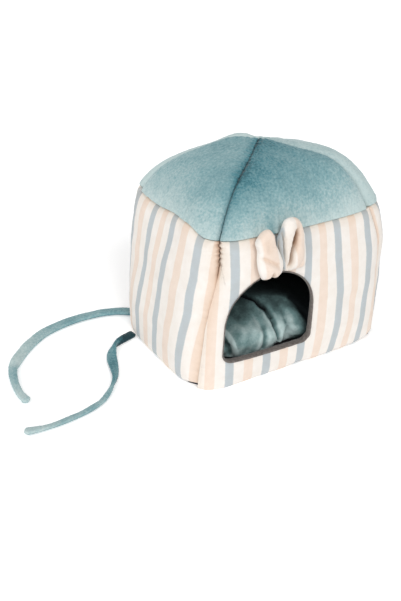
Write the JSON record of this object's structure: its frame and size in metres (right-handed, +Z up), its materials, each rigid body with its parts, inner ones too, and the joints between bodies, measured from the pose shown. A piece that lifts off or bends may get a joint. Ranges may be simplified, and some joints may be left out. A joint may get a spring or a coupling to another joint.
{
  "type": "plush pet hideout",
  "caption": "Padded cloth pet house with striped walls, a domed plush roof, a bound arched doorway with a bow above it, a plump cushion inside and loose plush ties on the floor",
  "frame": {"origin": "middle of the underside of the part without its ties, on the surface that it stands on", "axes": "X along the front from its left to its right seen from the front, Y from the front to the back, Z up; the doorway faces -Y"},
  "size_m": [0.6829, 0.3415, 0.3589],
  "materials": {
    "striped_cotton": "matte",
    "teal_plush": "matte",
    "brown_binding": "matte",
    "dark_base": "matte"
  },
  "bodies": {
    "root": {"wall_front": "striped_cotton", "wall_right": "striped_cotton", "wall_back": "striped_cotton", "wall_left": "striped_cotton", "roof_front": "teal_plush", "roof_right": "teal_plush", "roof_back": "teal_plush", "roof_left": "teal_plush", "base": "dark_base", "door_binding": "brown_binding", "cushion": "teal_plush", "bow_loop_left": "striped_cotton", "bow_loop_right": "striped_cotton", "tie_upper": "teal_plush", "tie_lower": "teal_plush"}
  },
  "joints": []
}
